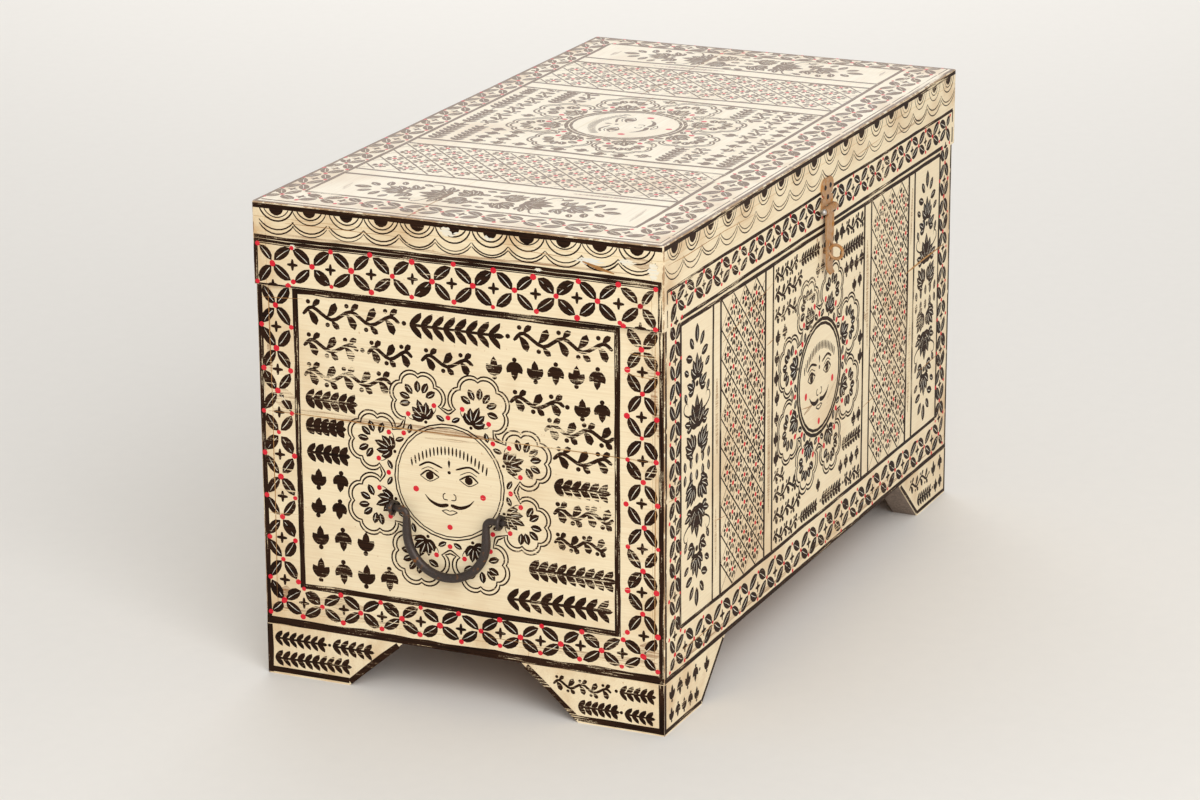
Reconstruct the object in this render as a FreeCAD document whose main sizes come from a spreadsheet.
"""A painted plank chest on bracket feet, with a hinged lid, a hasp and two bail handles.

Millimetres, +Z up, the length along X, the front towards -Y.
The origin is on the floor, under the middle of the carcass.
"""
import FreeCAD, Part
import math
import os
import re

import Sketcher

# Every driving size: its name, its value and what it measures.
SIZES = (
    ("chest_length", 668, "carcass, outside, along X"),
    ("chest_depth", 360, "carcass, outside, along Y"),
    ("foot_height", 44, "floor to the underside of the bottom"),
    ("bottom_thickness", 13, "bottom planks"),
    ("wall_height", 280.5, "wall boards, from the bottom up to the seam"),
    ("wall_thickness", 11, "wall boards"),
    ("end_seam_height", 173, "height of the lower plank of each end"),
    ("board_edge", 0.8, "worn rounding of every board edge"),
    ("lid_rail_height", 57, "rails round the lid"),
    ("lid_rail_thickness", 11, "rails round the lid"),
    ("lid_top_thickness", 12.5, "boards of the lid top"),
    ("lid_end_overhang", 3.5, "lid past the carcass at each end"),
    ("lid_front_overhang", 1, "lid past the carcass at the front"),
    ("lid_seam_place", 42, "seam of the two top boards, along Y"),
    ("foot_thickness", 23.5, "bracket foot, front to back"),
    ("foot_top_width", 126, "bracket foot along the carcass, at the top"),
    ("foot_bottom_width", 76, "bracket foot along the carcass, on the floor"),
    ("hinge_place", 190, "hinge, from the middle, along X"),
    ("hinge_width", 54, "hinge leaf, along X"),
    ("hinge_leaf_height", 36, "hinge leaf, from the pin"),
    ("hinge_leaf_thickness", 2, "hinge leaf"),
    ("hinge_barrel_radius", 4.6, "hinge knuckles, outside"),
    ("hinge_pin_radius", 1.8, "hinge pin"),
    ("hinge_nail_rise", 25, "hinge nails, from the pin"),
    ("hinge_nail_spacing", 17, "hinge nails, along X"),
    ("pin_clearance", 0.2, "all round a pin in a turning knuckle"),
    ("knuckle_gap", 0.5, "between neighbouring knuckles, and to the wall"),
    ("pin_head_height", 1.4, "burred end of a pin"),
    ("pin_head_extra", 0.9, "burred end of a pin, past its radius"),
    ("hasp_place", 9.5, "hasp, from the middle, along X"),
    ("hasp_pin_rise", 17, "hasp pin above the seam"),
    ("hasp_plate_thickness", 1.6, "plate on the lid, and the hasp strap"),
    ("hasp_barrel_radius", 3.1, "hasp knuckles, outside"),
    ("hasp_pin_radius", 1.3, "hasp pin"),
    ("hasp_pin_ball", 2.7, "round head of the hasp pin"),
    ("hasp_hinge_width", 25, "knuckles of plate and hasp, along X"),
    ("hasp_stem_width", 15, "plate below its head, along X"),
    ("hasp_head_rise", 19, "middle of the plate's head above the pin"),
    ("hasp_head_radius", 7.5, "rounding of the plate's head"),
    ("hasp_nail_spacing", 12, "upper nails of the plate, along X"),
    ("hasp_low_nail_rise", 10, "lower nail of the plate above the pin"),
    ("hasp_knuckle_width", 9.5, "knuckle of the hasp strap, along X"),
    ("hasp_width", 17, "hasp strap below its shoulders"),
    ("hasp_waist_width", 14, "hasp strap beside the slot"),
    ("hasp_tip_width", 7, "tip of the hasp strap"),
    ("hasp_straight", 50, "hasp strap from its pin to its curl"),
    ("hasp_curl_radius", 9, "middle line of the curled tip"),
    ("hasp_curl_angle", 48, "degrees of the curled tip"),
    ("hasp_slot_width", 5.8, "slot of the hasp"),
    ("hasp_slot_clearance", 0.8, "slot past the staple, at each end"),
    ("staple_drop", 20.5, "middle of the staple ring below the seam"),
    ("staple_standoff", 10.6, "middle of the staple ring from the board"),
    ("staple_ring_radius", 6, "middle line of the staple ring"),
    ("staple_wire_radius", 1.4, "wire of the staple"),
    ("staple_neck_radius", 2.6, "bend between the ring and its prongs"),
    ("eye_height", 164, "bail eyes above the floor"),
    ("bail_place", 8.5, "middle of a bail, from the middle towards the back"),
    ("eye_spacing", 96, "between the eyes of one bail"),
    ("eye_standoff", 7.2, "middle of the eye ring from the board"),
    ("eye_ring_radius", 4.9, "middle line of the eye ring"),
    ("eye_wire_radius", 1.6, "wire of the eyes"),
    ("eye_neck_radius", 2.2, "bend between the eye ring and its prongs"),
    ("prong_gap", 0.3, "between the two prongs of an eye"),
    ("prong_hole_clearance", 0.15, "hole in the board, all round the prongs"),
    ("clench_bend", 2.5, "middle line of a clenched prong's bend"),
    ("clench_length", 8, "clenched prong along the inside of the board"),
    ("bail_half_width", 35.6, "legs of the bail from its middle"),
    ("bail_drop", 53.7, "bail from the eyes to the middle of its bow"),
    ("bail_bow_radius", 3.75, "bar at the bow of the bail"),
    ("bail_neck_radius", 2.9, "bar at the shoulders of the bail"),
    ("bail_end_radius", 2.4, "bar at the ends of the bail"),
    ("bail_bend_radius", 5, "middle line of the bail's shoulders"),
    ("bail_end_past_eye", 5, "end of the bail past the middle of its eye"),
    ("nail_shank_radius", 1.1, "nails in the boards"),
    ("nail_head_radius", 2.6, "nails in the boards"),
    ("nail_head_height", 0.8, "nails in the boards"),
    ("nail_head_proud", 0.1, "head of a nail above the board"),
    ("nail_length", 36, "nails in the boards"),
    ("tack_shank_radius", 0.9, "nails of the hinges and the hasp"),
    ("tack_head_radius", 2.4, "nails of the hinges and the hasp"),
    ("tack_head_height", 1.1, "domed head of these nails"),
    ("tack_length", 9, "these nails under the head"),
    ("corner_nail_margin", 24, "end nails of a corner row from the board's end"),
    ("bottom_nail_reach", 180, "end nails of a long row under the bottom, from the middle"),
    ("foot_nail_near", 40, "nails in a foot from the corner"),
    ("foot_nail_far", 84, "nails in a foot from the corner"),
)
CORNER_ROW_COUNT = 5
LONG_ROW_COUNT = 6
END_ROW_COUNT = 3
RAIL_ROW_COUNT = 2
NAIL_INSIDE_END_SHARE = 0.5

# Places that follow from the sizes.
HALF_LENGTH = "(chest_length / 2)"
HALF_DEPTH = "(chest_depth / 2)"
BOTTOM_TOP = "(foot_height + bottom_thickness)"
SEAM = f"({BOTTOM_TOP} + wall_height)"
LID_HALF_LENGTH = f"({HALF_LENGTH} + lid_end_overhang)"
LID_FRONT = f"({HALF_DEPTH} + lid_front_overhang)"
RAIL_TOP = f"({SEAM} + lid_rail_height)"
LID_TOP = f"({RAIL_TOP} + lid_top_thickness)"
HINGE_STANDOFF = "(hinge_barrel_radius + knuckle_gap)"
HASP_STANDOFF = "(hasp_barrel_radius + knuckle_gap)"
HASP_PIN_FRONT = f"({LID_FRONT} + {HASP_STANDOFF})"
STAPLE_PRONG = "(staple_wire_radius + prong_gap / 2)"
EYE_PRONG = "(eye_wire_radius + prong_gap / 2)"

doc = FreeCAD.newDocument("PaintedChest")
sheet = doc.addObject("Spreadsheet::Sheet", "Sizes")
for row, (alias, number, note) in enumerate(SIZES, start=1):
    sheet.set(f"A{row}", note)
    sheet.set(f"B{row}", str(number))
    sheet.setAlias(f"B{row}", alias)
doc.recompute()

ALIASES = {alias for alias, number, note in SIZES}
AXES = {"X": FreeCAD.Vector(1, 0, 0), "Y": FreeCAD.Vector(0, 1, 0), "Z": FreeCAD.Vector(0, 0, 1)}
QUARTER_TURN = 90
subparts = []


def linked(formula):
    """A formula whose size names point at the sheet."""
    return re.sub(r"[a-z_]+", lambda word: f"Sizes.{word[0]}" if word[0] in ALIASES else word[0], formula)


def value(formula):
    """What a formula comes to now."""
    return float(sheet.evalExpression(linked(formula)))


def bind(thing, name, formula):
    """Tie one property to the sheet."""
    thing.setExpression(name, linked(formula))


def seat(thing, place, turn=None):
    """Put a piece at a place given by three formulas, turned first if it needs it."""
    if turn is not None:
        thing.Placement = FreeCAD.Placement(FreeCAD.Vector(), turn)
    for axis, formula in zip("xyz", place):
        bind(thing, f"Placement.Base.{axis}", formula)


def keep(thing, label):
    """Count a finished object as a sub-part of the chest."""
    thing.Label = label
    subparts.append(thing)
    return thing


def turned(axis, angle):
    """A turn about one of the axes, in degrees."""
    return FreeCAD.Rotation(AXES[axis], angle)


# Sketches and the features made from them

def new_body(label):
    """An empty body that counts as a sub-part."""
    return keep(doc.addObject("PartDesign::Body", label), label)


def new_sketch(body, name, role, offset="0"):
    """A sketch on one of the body's own planes, raised from it by a formula."""
    sketch = body.newObject("Sketcher::SketchObject", f"{body.Name}_{name}")
    plane = next(item for item in body.Origin.OriginFeatures if item.Role == role)
    sketch.AttachmentSupport = [(plane, "")]
    sketch.MapMode = "FlatFace"
    bind(sketch, "AttachmentOffset.Base.z", offset)
    return sketch


def dimension(sketch, kind, geometry, formula):
    """A named dimension of a sketch, tied to the sheet."""
    index = sketch.addConstraint(Sketcher.Constraint(kind, *geometry, value(formula)))
    sketch.renameConstraint(index, f"size_{index}")
    bind(sketch, f"Constraints.size_{index}", formula)


def fix_point(sketch, geometry, position, place):
    """Hold a point of a sketch at two formulas from the sketch's origin."""
    for kind, formula in zip(("DistanceX", "DistanceY"), place):
        dimension(sketch, kind, (-1, 1, geometry, position), formula)


def point(place):
    """The sketch point that two formulas give now."""
    return FreeCAD.Vector(value(place[0]), value(place[1]), 0)


def draw_outline(sketch, corners):
    """A closed outline of straight sides through corners given by formulas."""
    first = sketch.GeometryCount
    count = len(corners)
    for index in range(count):
        start = point(corners[index])
        end = point(corners[(index + 1) % count])
        sketch.addGeometry(Part.LineSegment(start, end))
    for index in range(count):
        following = first + (index + 1) % count
        sketch.addConstraint(Sketcher.Constraint("Coincident", first + index, 2, following, 1))
    for index, corner in enumerate(corners):
        fix_point(sketch, first + index, 1, corner)


def draw_circle(sketch, centre, radius):
    """A circle whose centre and radius are formulas."""
    index = sketch.addGeometry(Part.Circle(point(centre), AXES["Z"], value(radius)))
    fix_point(sketch, index, 3, centre)
    dimension(sketch, "Radius", (index,), radius)


def draw_arc(sketch, centre, radius, start, end):
    """An arc with its centre and radius now, from one angle to another, in radians."""
    circle = Part.Circle(centre, AXES["Z"], radius)
    return sketch.addGeometry(Part.ArcOfCircle(circle, start, end))


def draw_upright_slot(sketch, low, high, radius):
    """A slot with round ends, upright in the sketch, between two heights on its middle line."""
    wide = value(radius)
    bottom = point(("0", low))
    top = point(("0", high))
    over = draw_arc(sketch, top, wide, 0, math.pi)
    left = sketch.addGeometry(Part.LineSegment(top - AXES["X"] * wide, bottom - AXES["X"] * wide))
    under = draw_arc(sketch, bottom, wide, math.pi, 2 * math.pi)
    right = sketch.addGeometry(Part.LineSegment(bottom + AXES["X"] * wide, top + AXES["X"] * wide))
    ring = (over, left, under, right)
    for index, geometry in enumerate(ring):
        following = ring[(index + 1) % len(ring)]
        sketch.addConstraint(Sketcher.Constraint("Tangent", geometry, 2, following, 1))
    for arc, height in ((over, high), (under, low)):
        fix_point(sketch, arc, 3, ("0", height))
        dimension(sketch, "Radius", (arc,), radius)


def pad(body, sketch, length, side="One side", back=False):
    """Raise a sketch by a formula."""
    feature = body.newObject("PartDesign::Pad", f"{sketch.Name}_pad")
    feature.Profile = sketch
    feature.SideType = side
    feature.Reversed = back
    bind(feature, "Length", length)
    doc.recompute()
    return feature


def cut_through(body, sketch):
    """Cut a sketch right through the body, to both sides."""
    before = body.Shape.Volume
    feature = body.newObject("PartDesign::Pocket", f"{sketch.Name}_cut")
    feature.Profile = sketch
    feature.SideType = "Symmetric"
    feature.Type = "ThroughAll"
    doc.recompute()
    if body.Shape.Volume >= before:
        raise RuntimeError(f"{feature.Name} cuts nothing")
    return feature


def board(label, size, place):
    """A board with worn edges: its three sizes and its lowest corner."""
    body = new_body(label)
    sketch = new_sketch(body, "outline", "XY_Plane")
    draw_outline(sketch, (("0", "0"), (size[0], "0"), (size[0], size[1]), ("0", size[1])))
    blank = pad(body, sketch, size[2])
    worn = body.newObject("PartDesign::Fillet", f"{label}_worn_edges")
    worn.Base = (blank, [""])
    worn.UseAllEdges = True
    bind(worn, "Radius", "board_edge")
    seat(body, place)
    return body


# Solids built from primitives

def span_box(name, x, y, z):
    """A box between two formulas on each axis."""
    box = doc.addObject("Part::Box", name)
    for side, (low, high) in zip(("Length", "Width", "Height"), (x, y, z)):
        bind(box, side, f"({high}) - ({low})")
    seat(box, (x[0], y[0], z[0]))
    return box


def rod(name, axis, radius, span, place):
    """A cylinder along an axis, over a span on it, through a place on the two other axes in order."""
    cylinder = doc.addObject("Part::Cylinder", name)
    bind(cylinder, "Radius", radius)
    bind(cylinder, "Height", f"({span[1]}) - ({span[0]})")
    turn = {"X": turned("Y", QUARTER_TURN), "Y": turned("X", -QUARTER_TURN), "Z": turned("Z", 0)}[axis]
    where = list(place)
    where.insert("XYZ".index(axis), span[0])
    seat(cylinder, where, turn)
    return cylinder


def fused(name, pieces):
    """One solid of several."""
    whole = doc.addObject("Part::MultiFuse", name)
    whole.Shapes = pieces
    whole.Refine = True
    return whole


def without(name, base, tools):
    """A solid less several others."""
    cut = doc.addObject("Part::Cut", name)
    cut.Base = base
    cut.Tool = tools[0] if len(tools) == 1 else fused(f"{name}_tools", tools)
    cut.Refine = True
    return cut


# Carcass

def carcass():
    """Front, back, two planks at each end, and three bottom planks."""
    inner_length = "chest_length - 2 * wall_thickness"
    inner_depth = "chest_depth - 2 * wall_thickness"
    for label, y in (("front_board", f"-{HALF_DEPTH}"), ("back_board", f"{HALF_DEPTH} - wall_thickness")):
        body = board(label, ("chest_length", "wall_thickness", "wall_height"),
                     (f"-{HALF_LENGTH}", y, BOTTOM_TOP))
        if label == "front_board":
            drill(body, "XZ_Plane", (f"hasp_place + {HALF_LENGTH}", "wall_height - staple_drop"),
                  f"{STAPLE_PRONG} + staple_wire_radius + prong_hole_clearance")
    for side, x in (("left", f"-{HALF_LENGTH}"), ("right", f"{HALF_LENGTH} - wall_thickness")):
        y = f"wall_thickness - {HALF_DEPTH}"
        lower = board(f"{side}_end_lower_plank", ("wall_thickness", inner_depth, "end_seam_height"),
                      (x, y, BOTTOM_TOP))
        for sign in "-+":
            middle = f"{HALF_DEPTH} - wall_thickness + bail_place {sign} eye_spacing / 2"
            drill(lower, "YZ_Plane", (middle, f"eye_height - {BOTTOM_TOP}"),
                  f"{EYE_PRONG} + eye_wire_radius + prong_hole_clearance")
        board(f"{side}_end_upper_plank", ("wall_thickness", inner_depth, "wall_height - end_seam_height"),
              (x, y, f"{BOTTOM_TOP} + end_seam_height"))
    planks = ("front", "middle", "back")
    wide = f"chest_depth / {len(planks)}"
    for index, name in enumerate(planks):
        board(f"bottom_plank_{name}", ("chest_length", wide, "bottom_thickness"),
              (f"-{HALF_LENGTH}", f"{index} * {wide} - {HALF_DEPTH}", "foot_height"))


def drill(body, role, centre, radius):
    """A round hole right through a board."""
    sketch = new_sketch(body, f"hole_{len(body.Group)}", role)
    draw_circle(sketch, centre, radius)
    cut_through(body, sketch)


def feet():
    """Two mitred brackets at each corner, each with a sloping inner end."""
    corners = (("front_left", "-", "-"), ("front_right", "", "-"),
               ("back_right", "", ""), ("back_left", "-", ""))
    for index, (name, x_sign, y_sign) in enumerate(corners):
        place = (f"{x_sign}{HALF_LENGTH}", f"{y_sign}{HALF_DEPTH}", "0")
        ways = ("long", "end") if index % 2 == 0 else ("end", "long")
        for mirrored, way in enumerate(ways):
            bracket = foot_bracket(f"foot_{name}_{way}", mirrored)
            seat(bracket, place, turned("Z", QUARTER_TURN * (index + mirrored)))


def foot_bracket(label, mirrored):
    """A bracket that runs along its own X from the corner, mitred to its neighbour."""
    body = new_body(label)
    profile = new_sketch(body, "profile", "XZ_Plane")
    draw_outline(profile, (("0", "0"), ("foot_bottom_width", "0"),
                           ("foot_top_width", "foot_height"), ("0", "foot_height")))
    pad(body, profile, "foot_thickness", back=not mirrored)
    inside = "-foot_thickness" if mirrored else "foot_thickness"
    mitre = new_sketch(body, "mitre", "XY_Plane")
    draw_outline(mitre, (("0", "0"), ("foot_thickness", inside), ("0", inside)))
    cut_through(body, mitre)
    return body


# Lid

def lid():
    """Four rails and two top boards laid on them, flush all round."""
    length = f"2 * {LID_HALF_LENGTH}"
    rail = (length, "lid_rail_thickness", "lid_rail_height")
    board("lid_front_rail", rail, (f"-{LID_HALF_LENGTH}", f"-{LID_FRONT}", SEAM))
    board("lid_back_rail", rail, (f"-{LID_HALF_LENGTH}", f"{HALF_DEPTH} - lid_rail_thickness", SEAM))
    between = f"{LID_FRONT} + {HALF_DEPTH} - 2 * lid_rail_thickness"
    for side, x in (("left", f"-{LID_HALF_LENGTH}"), ("right", f"{LID_HALF_LENGTH} - lid_rail_thickness")):
        board(f"lid_{side}_rail", ("lid_rail_thickness", between, "lid_rail_height"),
              (x, f"lid_rail_thickness - {LID_FRONT}", SEAM))
    board("lid_top_front_board", (length, f"lid_seam_place + {LID_FRONT}", "lid_top_thickness"),
          (f"-{LID_HALF_LENGTH}", f"-{LID_FRONT}", RAIL_TOP))
    board("lid_top_back_board", (length, f"{HALF_DEPTH} - lid_seam_place", "lid_top_thickness"),
          (f"-{LID_HALF_LENGTH}", "lid_seam_place", RAIL_TOP))


# Hinges and hasp

def leaf(label, plate, knuckles, holes, barrel, tab):
    """A hinge leaf about its own X: plate solids, knuckle spans, nail holes and the bore.

    The leaf's back lies on the plane Y = -standoff; barrel gives its radius, pin radius and standoff.
    """
    radius, pin, standoff, thickness = barrel
    back = (f"-{standoff}", f"{thickness} - {standoff}")
    solids = list(plate)
    for index, span in enumerate(knuckles):
        solids.append(rod(f"{label}_knuckle_{index}", "X", radius, span, ("0", "0")))
        solids.append(span_box(f"{label}_tab_{index}", span, back, tab))
    whole_width = (knuckles[0][0], knuckles[-1][1])
    tools = [rod(f"{label}_bore", "X", f"{pin} + pin_clearance", whole_width, ("0", "0"))]
    for index, (x, z) in enumerate(holes):
        tools.append(rod(f"{label}_hole_{index}", "Y", "tack_shank_radius + pin_clearance", back, (x, z)))
    return keep(without(label, fused(f"{label}_blank", solids), tools), label)


def back_hinges():
    """Two butt hinges on the back: a lid leaf with one knuckle, a wall leaf with two, and a pin."""
    half = "hinge_width / 2"
    third = "hinge_width / 6"
    middle = ((f"knuckle_gap / 2 - {third}", f"{third} - knuckle_gap / 2"),)
    outer = ((f"-{half}", f"-{third} - knuckle_gap / 2"), (f"{third} + knuckle_gap / 2", half))
    barrel = ("hinge_barrel_radius", "hinge_pin_radius", HINGE_STANDOFF, "hinge_leaf_thickness")
    back = (f"-{HINGE_STANDOFF}", f"hinge_leaf_thickness - {HINGE_STANDOFF}")
    for side, x_sign in (("left", "-"), ("right", "")):
        place = (f"{x_sign}hinge_place", f"{HALF_DEPTH} + {HINGE_STANDOFF}", SEAM)
        for name, knuckles, sign in (("lid", middle, ""), ("wall", outer, "-")):
            label = f"{side}_hinge_{name}_leaf"
            near, far = f"{sign}{HINGE_STANDOFF}", f"{sign}hinge_leaf_height"
            height = (near, far) if name == "lid" else (far, near)
            touch = f"{sign}hinge_leaf_thickness / 2"
            tab = (touch, near) if name == "lid" else (near, touch)
            plate = span_box(f"{label}_plate", (f"-{half}", half), back, height)
            holes = [(f"{step} * hinge_nail_spacing", f"{sign}hinge_nail_rise") for step in (-1, 0, 1)]
            seat(leaf(label, [plate], knuckles, holes, barrel, tab), place)
        ends = (f"-({half})", half)
        pin = [rod(f"{side}_pin_shank", "X", "hinge_pin_radius", ends, ("0", "0"))]
        for end, span in (("a", (f"-({half}) - pin_head_height", f"-({half})")),
                          ("b", (half, f"{half} + pin_head_height"))):
            pin.append(rod(f"{side}_pin_head_{end}", "X", "hinge_pin_radius + pin_head_extra", span,
                           ("0", "0")))
        seat(keep(fused(f"{side}_hinge_pin", pin), f"{side}_hinge_pin"), place)


def hasp_hinge():
    """The plate nailed to the lid, and the pin that carries the hasp."""
    half = "hasp_hinge_width / 2"
    inner = "hasp_knuckle_width / 2 + knuckle_gap"
    outer = ((f"-{half}", f"-({inner})"), (inner, half))
    barrel = ("hasp_barrel_radius", "hasp_pin_radius", HASP_STANDOFF, "hasp_plate_thickness")
    back = (f"-{HASP_STANDOFF}", f"hasp_plate_thickness - {HASP_STANDOFF}")
    stem = "hasp_stem_width / 2"
    lobe = "hasp_nail_spacing / 2"
    foot = (HASP_STANDOFF, "hasp_low_nail_rise")
    plate = [
        span_box("hasp_plate_foot", (f"-{half}", half), back, foot),
        span_box("hasp_plate_stem", (f"-{stem}", stem), back, (HASP_STANDOFF, "hasp_head_rise")),
        span_box("hasp_plate_head", (f"-{lobe}", lobe), back,
                 ("hasp_head_rise - hasp_head_radius", "hasp_head_rise + hasp_head_radius")),
    ]
    for sign in "-+":
        plate.append(rod(f"hasp_plate_lobe_{'ab'['-+'.index(sign)]}", "Y", "hasp_head_radius", back,
                         (f"{sign}{lobe}", "hasp_head_rise")))
    holes = [(f"-{lobe}", "hasp_head_rise"), (lobe, "hasp_head_rise"), ("0", "hasp_low_nail_rise")]
    tab = ("hasp_plate_thickness / 2", HASP_STANDOFF)
    place = ("hasp_place", f"-{HASP_PIN_FRONT}", f"{SEAM} + hasp_pin_rise")
    facing = turned("Z", 2 * QUARTER_TURN)
    seat(leaf("hasp_plate", plate, outer, holes, barrel, tab), place, facing)
    shank = rod("hasp_pin_shank", "X", "hasp_pin_radius", (f"-({half})", half), ("0", "0"))
    ball = doc.addObject("Part::Sphere", "hasp_pin_ball_head")
    bind(ball, "Radius", "hasp_pin_ball")
    seat(ball, (f"-({half}) - hasp_pin_ball + pin_head_extra", "0", "0"), turned("Y", -QUARTER_TURN))
    burr = rod("hasp_pin_burr", "X", "hasp_pin_radius + pin_head_extra", (half, f"{half} + pin_head_height"),
               ("0", "0"))
    clear = span_box("hasp_pin_trim", (f"-({half})", half), ("-hasp_pin_ball", "hasp_pin_ball"),
                     ("-hasp_pin_ball", "hasp_pin_ball"))
    head = without("hasp_pin_head", ball, [clear])
    seat(keep(fused("hasp_pin", [shank, head, burr]), "hasp_pin"), place)


def hasp():
    """The strap that hangs from the plate: shoulders, a slot for the staple and a curled tip."""
    body = new_body("hasp")
    side = new_sketch(body, "side", "YZ_Plane")
    draw_strap_side(side)
    pad(body, side, "hasp_width", side="Symmetric")
    tip = "(hasp_straight + hasp_curl_radius)"
    shoulder = "(hasp_barrel_radius + knuckle_gap)"
    waist = "(hasp_straight / 2)"
    half = (
        ("hasp_knuckle_width / 2", "hasp_plate_thickness"),
        ("hasp_knuckle_width / 2", f"-{shoulder}"),
        ("hasp_width / 2", f"-{shoulder} - hasp_plate_thickness"),
        ("hasp_width / 2", f"-{waist}"),
        ("hasp_waist_width / 2", f"-{waist} - hasp_plate_thickness"),
        ("hasp_waist_width / 2", "hasp_plate_thickness - hasp_straight"),
        ("hasp_tip_width / 2", f"-{tip}"),
    )
    front = new_sketch(body, "front", "XZ_Plane")
    draw_outline(front, half + tuple((f"-{x}", z) for x, z in reversed(half)))
    outside = (("hasp_width", "hasp_width"), ("-hasp_width", "hasp_width"),
               ("-hasp_width", f"-{tip} - hasp_width"), ("hasp_width", f"-{tip} - hasp_width"))
    draw_outline(front, outside)
    cut_through(body, front)
    forward = f"({HALF_DEPTH} + staple_standoff - {HASP_PIN_FRONT})"
    below = "(hasp_pin_rise + staple_drop)"
    reach = f"sqrt({forward} * {forward} + {below} * {below})"
    past = "(staple_ring_radius + staple_wire_radius + hasp_slot_clearance)"
    slot = new_sketch(body, "slot", "XZ_Plane")
    draw_upright_slot(slot, f"hasp_slot_width / 2 - {reach} - {past}",
                      f"{past} - {reach} - hasp_slot_width / 2", "hasp_slot_width / 2")
    cut_through(body, slot)
    knuckle = new_sketch(body, "knuckle", "YZ_Plane")
    draw_circle(knuckle, ("0", "0"), "hasp_barrel_radius")
    pad(body, knuckle, "hasp_knuckle_width", side="Symmetric")
    bore = new_sketch(body, "bore", "YZ_Plane")
    draw_circle(bore, ("0", "0"), "hasp_pin_radius + pin_clearance")
    cut_through(body, bore)
    seat(body, ("hasp_place", f"-{HASP_PIN_FRONT}", f"{SEAM} + hasp_pin_rise"))


def draw_strap_side(sketch):
    """The strap from the side: straight down from the pin, then curled outwards, towards -Y."""
    half = "hasp_plate_thickness / 2"
    centre = ("-hasp_curl_radius", "-hasp_straight")
    middle = point(centre)
    turn = math.radians(value("hasp_curl_angle"))
    inner = value(f"hasp_curl_radius - {half}")
    outer = value(f"hasp_curl_radius + {half}")
    ray = FreeCAD.Vector(math.cos(turn), -math.sin(turn), 0)
    top_left = point((f"-{half}", "0"))
    top_right = point((half, "0"))
    left = sketch.addGeometry(Part.LineSegment(top_left, middle + AXES["X"] * inner))
    near = draw_arc(sketch, middle, inner, -turn, 0)
    end = sketch.addGeometry(Part.LineSegment(middle + ray * inner, middle + ray * outer))
    far = draw_arc(sketch, middle, outer, -turn, 0)
    right = sketch.addGeometry(Part.LineSegment(middle + AXES["X"] * outer, top_right))
    over = sketch.addGeometry(Part.LineSegment(top_right, top_left))
    for joint in ((near, 1, end, 1), (end, 2, far, 1), (right, 2, over, 1), (over, 2, left, 1)):
        sketch.addConstraint(Sketcher.Constraint("Coincident", *joint))
    for joint in ((left, 2, near, 2), (far, 2, right, 1)):
        sketch.addConstraint(Sketcher.Constraint("Tangent", *joint))
    sketch.addConstraint(Sketcher.Constraint("Coincident", near, 3, far, 3))
    fix_point(sketch, near, 3, centre)
    dimension(sketch, "Radius", (near,), f"hasp_curl_radius - {half}")
    dimension(sketch, "Radius", (far,), f"hasp_curl_radius + {half}")
    fix_point(sketch, left, 1, (f"-{half}", "0"))
    fix_point(sketch, over, 1, (half, "0"))
    for arc, radius in ((near, f"(hasp_curl_radius - {half})"), (far, f"(hasp_curl_radius + {half})")):
        low = f"-hasp_straight - {radius} * sin(hasp_curl_angle * 1 deg)"
        dimension(sketch, "DistanceY", (-1, 1, arc, 1), low)


# Eyes of bent wire, and the bails that hang in them

def wire_eye(label, ring, wire, neck, standoff, place, turn):
    """A ring of wire whose two prongs go through a board and are bent over behind it.

    In its own frame the board's face is X = 0, the ring stands out along -X in the plane of X and Z.
    """
    body = new_body(label)
    path = new_sketch(body, "path", "XZ_Plane")
    prong = f"({wire} + prong_gap / 2)"
    bend_x = "wall_thickness"
    clench_x = "(wall_thickness + clench_bend)"
    tip = f"({prong} + clench_bend + clench_length)"
    draw_eye_path(path, ring, neck, standoff, prong, bend_x, clench_x, tip)
    section = new_sketch(body, "section", "XY_Plane", tip)
    draw_circle(section, (clench_x, "0"), wire)
    sweep = body.newObject("PartDesign::AdditivePipe", f"{label}_wire")
    sweep.Profile = section
    sweep.Spine = (path, [f"Edge{index + 1}" for index in range(path.GeometryCount)])
    doc.recompute()
    seat(body, place, turn)


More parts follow.
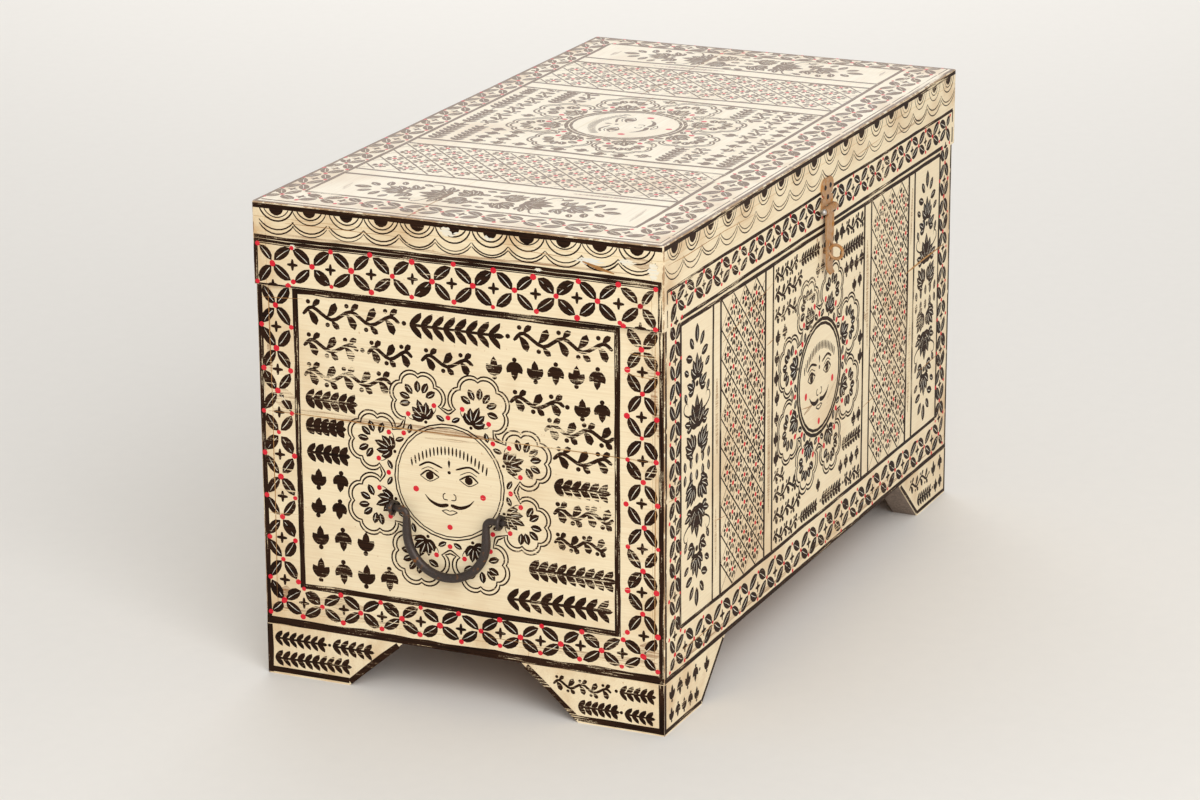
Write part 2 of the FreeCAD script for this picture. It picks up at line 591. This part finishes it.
def draw_eye_path(sketch, ring, neck, standoff, prong, bend_x, clench_x, tip):
    """Clench, bend, prong, neck, ring, and back the same way: every joint is smooth."""
    loop = value(ring)
    flare = value(neck)
    offset = value(prong)
    bend = value("clench_bend")
    bend_at = value(bend_x)
    clench_at = value(clench_x)
    end = value(tip)
    centre = point((f"-{standoff}", "0"))
    neck_at = centre.x + math.sqrt((loop + flare) ** 2 - (offset + flare) ** 2)
    lean = math.atan2(offset + flare, neck_at - centre.x)
    half_turn = math.pi
    right_angle = half_turn / 2
    upper_neck = FreeCAD.Vector(neck_at, offset + flare, 0)
    lower_neck = FreeCAD.Vector(neck_at, -offset - flare, 0)
    upper_bend = FreeCAD.Vector(bend_at, offset + bend, 0)
    lower_bend = FreeCAD.Vector(bend_at, -offset - bend, 0)
    first = sketch.addGeometry(Part.LineSegment(FreeCAD.Vector(clench_at, end, 0),
                                                FreeCAD.Vector(clench_at, offset + bend, 0)))
    bend_a = draw_arc(sketch, upper_bend, bend, -right_angle, 0)
    prong_a = sketch.addGeometry(Part.LineSegment(FreeCAD.Vector(bend_at, offset, 0),
                                                  FreeCAD.Vector(neck_at, offset, 0)))
    neck_a = draw_arc(sketch, upper_neck, flare, half_turn + lean, half_turn + right_angle)
    eye = draw_arc(sketch, centre, loop, lean, 2 * half_turn - lean)
    neck_b = draw_arc(sketch, lower_neck, flare, right_angle, half_turn - lean)
    prong_b = sketch.addGeometry(Part.LineSegment(FreeCAD.Vector(neck_at, -offset, 0),
                                                  FreeCAD.Vector(bend_at, -offset, 0)))
    bend_b = draw_arc(sketch, lower_bend, bend, 0, right_angle)
    last = sketch.addGeometry(Part.LineSegment(FreeCAD.Vector(clench_at, -offset - bend, 0),
                                               FreeCAD.Vector(clench_at, -end, 0)))
    joints = ((first, 2, bend_a, 2), (bend_a, 1, prong_a, 1), (prong_a, 2, neck_a, 2), (neck_a, 1, eye, 1),
              (eye, 2, neck_b, 2), (neck_b, 1, prong_b, 1), (prong_b, 2, bend_b, 2), (bend_b, 1, last, 1))
    for joint in joints:
        sketch.addConstraint(Sketcher.Constraint("Tangent", *joint))
    for line in (first, last):
        sketch.addConstraint(Sketcher.Constraint("Vertical", line))
    fix_point(sketch, eye, 3, (f"-{standoff}", "0"))
    dimension(sketch, "Radius", (eye,), ring)
    for sign, arc, turn, line, position in (("", neck_a, bend_a, first, 1), ("-", neck_b, bend_b, last, 2)):
        dimension(sketch, "Radius", (arc,), neck)
        dimension(sketch, "DistanceY", (-1, 1, arc, 3), f"{sign}({prong} + {neck})")
        dimension(sketch, "Radius", (turn,), "clench_bend")
        fix_point(sketch, turn, 3, (bend_x, f"{sign}({prong} + clench_bend)"))
        dimension(sketch, "DistanceY", (-1, 1, line, position), f"{sign}{tip}")


def eyes():
    """One staple for the hasp and two eyes for each bail."""
    wire_eye("hasp_staple", "staple_ring_radius", "staple_wire_radius", "staple_neck_radius",
             "staple_standoff", ("hasp_place", f"-{HALF_DEPTH}", f"{SEAM} - staple_drop"),
             turned("Z", QUARTER_TURN))
    for side, x_sign, angle in (("left", "-", 0), ("right", "", 2 * QUARTER_TURN)):
        for name, y_sign in (("front", "-"), ("back", "+")):
            wire_eye(f"{side}_eye_{name}", "eye_ring_radius", "eye_wire_radius", "eye_neck_radius",
                     "eye_standoff",
                     (f"{x_sign}{HALF_LENGTH}", f"bail_place {y_sign} eye_spacing / 2", "eye_height"),
                     turned("Z", angle))


def bails():
    """A drop handle on each end: a bow, two tapered legs, shoulders, and ends turned out into the eyes."""
    for side, x_sign, angle in (("left", "-", -QUARTER_TURN), ("right", "", QUARTER_TURN)):
        label = f"{side}_bail"
        low = "(bail_drop - bail_half_width)"
        bow = bent_bar(f"{label}_bow", "bail_half_width", "bail_bow_radius", 2 * QUARTER_TURN,
                       2 * QUARTER_TURN, ("0", f"-{low}", "0"))
        pieces = [bow]
        for hand, sign, start, way in (("a", "-", 0, -QUARTER_TURN), ("b", "", QUARTER_TURN, QUARTER_TURN)):
            leg = tapered_bar(f"{label}_leg_{hand}", "bail_bow_radius", "bail_neck_radius",
                              f"{low} - bail_bend_radius")
            seat(leg, (f"{sign}bail_half_width", f"-{low}", "0"), turned("X", -QUARTER_TURN))
            shoulder = bent_bar(f"{label}_shoulder_{hand}", "bail_bend_radius", "bail_neck_radius", start,
                                QUARTER_TURN,
                                (f"{sign}(bail_half_width + bail_bend_radius)", "-bail_bend_radius", "0"))
            end = tapered_bar(f"{label}_end_{hand}", "bail_neck_radius", "bail_end_radius",
                              "eye_spacing / 2 + bail_end_past_eye - bail_half_width - bail_bend_radius")
            seat(end, (f"{sign}(bail_half_width + bail_bend_radius)", "0", "0"), turned("Y", way))
            pieces += [leg, shoulder, end]
        whole = keep(fused(label, pieces), label)
        upright = turned("Z", angle).multiply(turned("X", QUARTER_TURN))
        seat(whole, (f"{x_sign}({HALF_LENGTH} + eye_standoff)", "bail_place", "eye_height"), upright)


def bent_bar(name, bend, radius, start, sweep, place):
    """A round bar bent about its own Z, from a start angle through a sweep."""
    bar = doc.addObject("Part::Torus", name)
    bind(bar, "Radius1", bend)
    bind(bar, "Radius2", radius)
    bar.Angle3 = sweep
    seat(bar, place, turned("Z", start))
    return bar


def tapered_bar(name, start, end, length):
    """A round bar along its own Z that changes from one radius to another."""
    bar = doc.addObject("Part::Cone", name)
    bind(bar, "Radius1", start)
    bind(bar, "Radius2", end)
    bind(bar, "Height", length)
    return bar


# Nails

def nail(kind, head_lift, domed):
    """A nail along its own -Z whose board face is Z = 0."""
    shank = value(f"{kind}_shank_radius")
    head = value(f"{kind}_head_radius")
    rise = value(f"{kind}_head_height")
    top = FreeCAD.Vector(0, 0, head_lift)
    rim = FreeCAD.Vector(head, 0, head_lift - rise)
    neck = FreeCAD.Vector(shank, 0, head_lift - rise)
    point_side = FreeCAD.Vector(shank, 0, head_lift - rise - value(f"{kind}_length"))
    point_middle = FreeCAD.Vector(0, 0, point_side.z)
    if domed:
        ball = (head ** 2 + rise ** 2) / (2 * rise)
        spread = math.asin(head / ball) / 2
        crown = FreeCAD.Vector(ball * math.sin(spread), 0, top.z - ball * (1 - math.cos(spread)))
        edges = [Part.Arc(top, crown, rim).toShape()]
        corners = [rim, neck, point_side, point_middle, top]
    else:
        edges = []
        corners = [top, FreeCAD.Vector(head, 0, head_lift), rim, neck, point_side, point_middle, top]
    edges += [Part.makeLine(start, end) for start, end in zip(corners, corners[1:])]
    return Part.Face(Part.Wire(edges)).revolve(FreeCAD.Vector(), AXES["Z"], 4 * QUARTER_TURN)


def nail_group(label, solid, places):
    """Copies of one nail as separate solids: each place is a point and the way its head looks."""
    copies = []
    for where, way in places:
        copy = solid.copy()
        copy.Placement = FreeCAD.Placement(where, FreeCAD.Rotation(AXES["Z"], way))
        copies.append(copy)
    group = doc.addObject("Part::Feature", label)
    group.Shape = Part.makeCompound(copies)
    keep(group, label)


def spread_row(low, high, count):
    """Evenly spaced numbers from one to another."""
    return [low + (high - low) * index / (count - 1) for index in range(count)]


def board_nails():
    """Nails through the walls, the lid, the bottom and into the feet."""
    flat = nail("nail", value("nail_head_proud"), False)
    vector = FreeCAD.Vector
    up, front, back, down = AXES["Z"], -AXES["Y"], AXES["Y"], -AXES["Z"]
    margin = value("corner_nail_margin")
    corner_x = value(f"{HALF_LENGTH} - wall_thickness / 2")
    half_depth = value(HALF_DEPTH)
    bottom_top = value(BOTTOM_TOP)
    seam = value(SEAM)
    heights = spread_row(bottom_top + margin, seam - margin, CORNER_ROW_COUNT)
    walls = [(vector(x, way.y * half_depth, z), way) for way in (front, back) for x in (-corner_x, corner_x)
             for z in heights]
    nail_group("wall_nails", flat, walls)

    reach = value("bottom_nail_reach")
    wall_y = value(f"{HALF_DEPTH} - wall_thickness / 2")
    under = value("foot_height")
    between_feet = value(f"{HALF_DEPTH} - foot_top_width") * NAIL_INSIDE_END_SHARE
    bottom = [(vector(x, y, under), down) for y in (-wall_y, wall_y)
              for x in spread_row(-reach, reach, LONG_ROW_COUNT)]
    bottom += [(vector(x, y, under), down) for x in (-corner_x, corner_x)
               for y in (-between_feet, between_feet)]
    nail_group("bottom_nails", flat, bottom)

    foot_y = value(f"{HALF_DEPTH} - (foot_thickness + wall_thickness) / 2")
    foot_x = value(f"{HALF_LENGTH} - (foot_thickness + wall_thickness) / 2")
    along = [value(name) for name in ("foot_nail_near", "foot_nail_far")]
    half_length = value(HALF_LENGTH)
    feet_places = []
    for x_way in (-1, 1):
        for y_way in (-1, 1):
            for step in along:
                feet_places.append((vector(x_way * (half_length - step), y_way * foot_y, bottom_top), up))
                feet_places.append((vector(x_way * foot_x, y_way * (half_depth - step), bottom_top), up))
    nail_group("foot_nails", flat, feet_places)

    rail_x = value(f"{LID_HALF_LENGTH} - lid_rail_thickness / 2")
    lid_front = value(LID_FRONT)
    rail_share = value("lid_rail_height") / (RAIL_ROW_COUNT + 1)
    rail_heights = [seam + rail_share * (index + 1) for index in range(RAIL_ROW_COUNT)]
    rails = [(vector(x, y, z), way) for y, way in ((-lid_front, front), (half_depth, back))
             for x in (-rail_x, rail_x) for z in rail_heights]
    nail_group("lid_rail_nails", flat, rails)

    top = value(LID_TOP)
    front_y = value(f"lid_rail_thickness / 2 - {LID_FRONT}")
    back_y = value(f"{HALF_DEPTH} - lid_rail_thickness / 2")
    long_row = spread_row(margin - rail_x, rail_x - margin, LONG_ROW_COUNT)
    end_row = spread_row(front_y, back_y, END_ROW_COUNT + 2)[1:-1]
    tops = [(vector(x, y, top), up) for y in (front_y, back_y) for x in long_row]
    tops += [(vector(x, y, top), up) for x in (-rail_x, rail_x) for y in end_row]
    nail_group("lid_top_nails", flat, tops)


def plate_nails():
    """Domed nails that hold the hinge leaves and the hasp plate."""
    domed = nail("tack", value("tack_head_height"), True)
    vector = FreeCAD.Vector
    face = value(f"{HALF_DEPTH} + hinge_leaf_thickness")
    spacing = value("hinge_nail_spacing")
    middles = (-value("hinge_place"), value("hinge_place"))
    for name, height in (("lid", f"{SEAM} + hinge_nail_rise"), ("wall", f"{SEAM} - hinge_nail_rise")):
        places = [(vector(middle + step * spacing, face, value(height)), AXES["Y"])
                  for middle in middles for step in (-1, 0, 1)]
        nail_group(f"hinge_{name}_nails", domed, places)
    front = -value(f"{LID_FRONT} + hasp_plate_thickness")
    middle = value("hasp_place")
    half = value("hasp_nail_spacing") / 2
    upper = value(f"{SEAM} + hasp_pin_rise + hasp_head_rise")
    lower = value(f"{SEAM} + hasp_pin_rise + hasp_low_nail_rise")
    spots = ((middle - half, upper), (middle + half, upper), (middle, lower))
    nail_group("hasp_nails", domed, [(vector(x, front, z), -AXES["Y"]) for x, z in spots])


def check_all():
    """Stop if any object failed or any sub-part has no sound shape."""
    doc.recompute()
    for thing in doc.Objects:
        if {"Invalid", "Error"} & set(thing.State):
            raise RuntimeError(f"{thing.Name} did not build")
    for thing in subparts:
        if thing.Shape.isNull() or not thing.Shape.isValid():
            raise RuntimeError(f"{thing.Label} has no sound shape")


def write_all():
    """One file for each sub-part."""
    os.makedirs("parts", exist_ok=True)
    for thing in subparts:
        thing.Shape.exportStep(f"parts/{thing.Label}.step")
        print(thing.Label, len(thing.Shape.Solids), round(thing.Shape.Volume))


carcass()
feet()
lid()
back_hinges()
hasp_hinge()
hasp()
eyes()
bails()
board_nails()
plate_nails()
check_all()
write_all()
